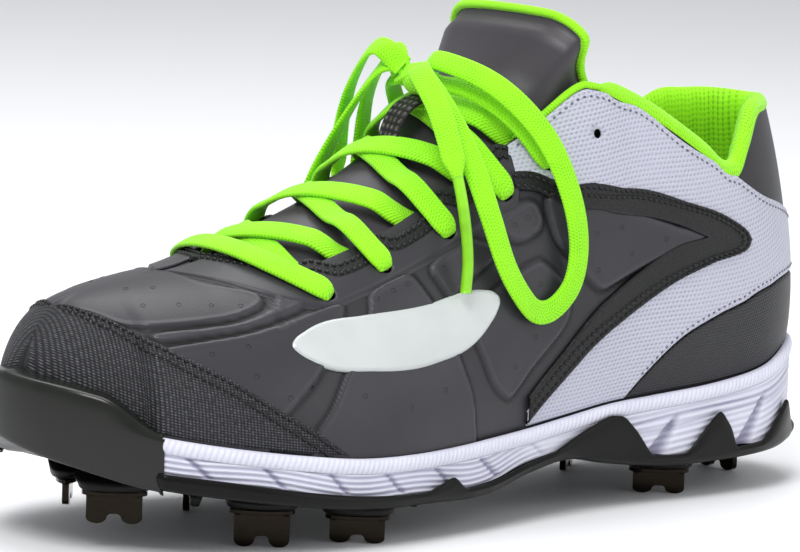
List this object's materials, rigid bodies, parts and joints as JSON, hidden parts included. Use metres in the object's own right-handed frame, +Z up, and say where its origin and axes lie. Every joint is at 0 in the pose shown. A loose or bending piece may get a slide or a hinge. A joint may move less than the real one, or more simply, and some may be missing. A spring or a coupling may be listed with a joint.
{
  "type": "baseball cleat",
  "caption": "Low baseball cleat for the left foot: moulded upper with a lined collar, laced throat tied in a bow, rubber toe bumper, and metal spikes under a toothed plate.",
  "frame": {"origin": "on the floor under the middle of the shoe, without its free lace", "axes": "+X towards the toe, +Y towards the outer side of this left shoe, +Z up"},
  "size_m": [0.2974, 0.1076, 0.1522],
  "materials": {
    "moulded_plate": "satin black moulding",
    "midsole_foam": "pale grey foam",
    "insole_fabric": "dark knit",
    "bumper_rubber": "glossy dark rubber",
    "upper_leather": "smooth dark grey",
    "rand_mesh": "textured dark grey",
    "saddle_leather": "pale grey, finely ribbed",
    "frame_leather": "textured dark grey",
    "counter_leather": "textured dark grey",
    "panel_film": "thin pale film",
    "eyestay_leather": "smooth dark grey",
    "tongue_fabric": "padded dark fabric",
    "loop_webbing": "dark webbing",
    "lining_mesh": "lime mesh",
    "spike_steel": "polished dark metal",
    "lace_fabric": "lime braid"
  },
  "bodies": {
    "root": {"collar_pad": "lining_mesh", "eyestay": "eyestay_leather", "heel_counter": "counter_leather", "insole": "insole_fabric", "lace_cross_1": "lace_fabric", "lace_cross_2": "lace_fabric", "lace_cross_3": "lace_fabric", "lace_cross_4": "lace_fabric", "lace_end_inner": "lace_fabric", "lace_end_outer": "lace_fabric", "lace_front": "lace_fabric", "lace_knot": "lace_fabric", "lace_loop_inner": "lace_fabric", "lace_loop_outer": "lace_fabric", "lace_tie_inner": "lace_fabric", "lace_tie_outer": "lace_fabric", "midsole": "midsole_foam", "outsole_plate": "moulded_plate", "quarter_frame_inner": "frame_leather", "quarter_frame_outer": "frame_leather", "saddle": "saddle_leather", "side_panel_inner": "panel_film", "side_panel_outer": "panel_film", "spike_ball_inner": "spike_steel", "spike_ball_outer": "spike_steel", "spike_heel_inner": "spike_steel", "spike_heel_outer": "spike_steel", "spike_heel_rear": "spike_steel", "spike_toe_inner": "spike_steel", "spike_toe_outer": "spike_steel", "spike_waist_inner": "spike_steel", "spike_waist_outer": "spike_steel", "toe_bumper": "bumper_rubber", "toe_rand": "rand_mesh", "tongue": "tongue_fabric", "tongue_loop": "loop_webbing", "upper": "upper_leather"}
  },
  "joints": []
}
